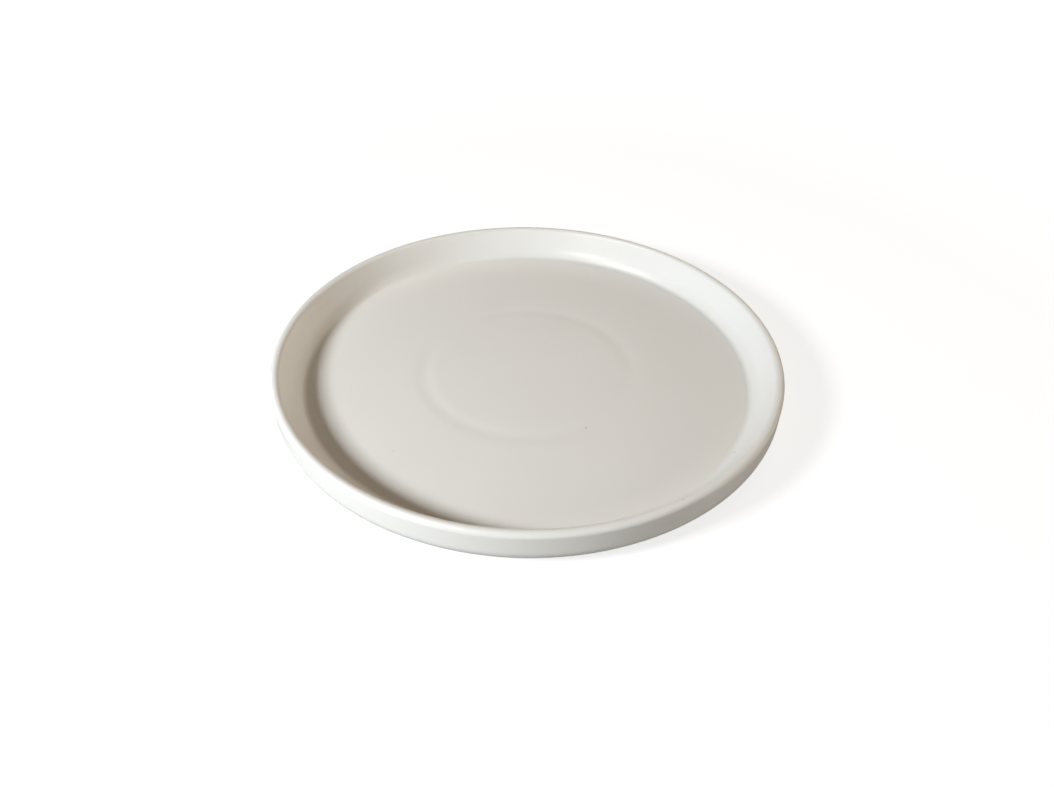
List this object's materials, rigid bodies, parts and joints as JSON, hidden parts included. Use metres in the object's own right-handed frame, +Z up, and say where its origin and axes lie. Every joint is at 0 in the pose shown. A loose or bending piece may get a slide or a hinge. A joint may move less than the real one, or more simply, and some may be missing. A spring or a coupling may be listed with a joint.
{
  "type": "dessert plate",
  "caption": "Low-walled round dessert plate with a flat floor, flared inner wall, rounded lip and foot ring, in satin-glazed stoneware, for serving small dishes.",
  "frame": {"origin": "centre of the foot ring's contact face, on the axis of the plate", "axes": "+Z up along the axis of the plate, from the table to the open side; the plate is turned, so X and Y are any two square directions"},
  "size_m": [0.21, 0.21, 0.0172],
  "materials": {
    "bare_clay": "matte",
    "satin_glaze": "satin"
  },
  "bodies": {
    "root": {"clay_body": "bare_clay", "glaze_coat": "satin_glaze", "foot_recess_glaze": "satin_glaze"}
  },
  "joints": []
}
